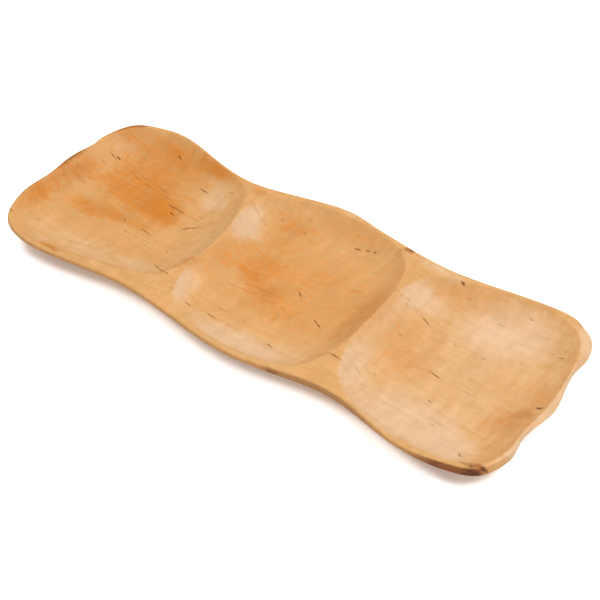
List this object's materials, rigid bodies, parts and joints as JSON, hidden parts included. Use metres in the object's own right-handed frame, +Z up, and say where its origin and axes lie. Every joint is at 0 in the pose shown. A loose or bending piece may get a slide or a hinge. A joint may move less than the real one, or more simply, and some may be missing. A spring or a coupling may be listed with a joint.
{
  "type": "compartment serving tray",
  "caption": "Long low wooden serving tray with shallow rounded pockets side by side inside a wavy free-form rim, standing on small rubber feet.",
  "frame": {"origin": "on the table, under the middle of the tray's box", "axes": "+X along the tray towards its wavy bulged end, +Y to the far long side, +Z up out of the pockets"},
  "size_m": [0.6108, 0.24, 0.034],
  "materials": {
    "oiled_wood": "satin oil, pale orange heartwood with brown flecks",
    "foot_rubber": "matte dark brown"
  },
  "bodies": {
    "root": {"carved_tray": "oiled_wood", "foot_left_far": "foot_rubber", "foot_left_near": "foot_rubber", "foot_right_far": "foot_rubber", "foot_right_near": "foot_rubber"}
  },
  "joints": []
}
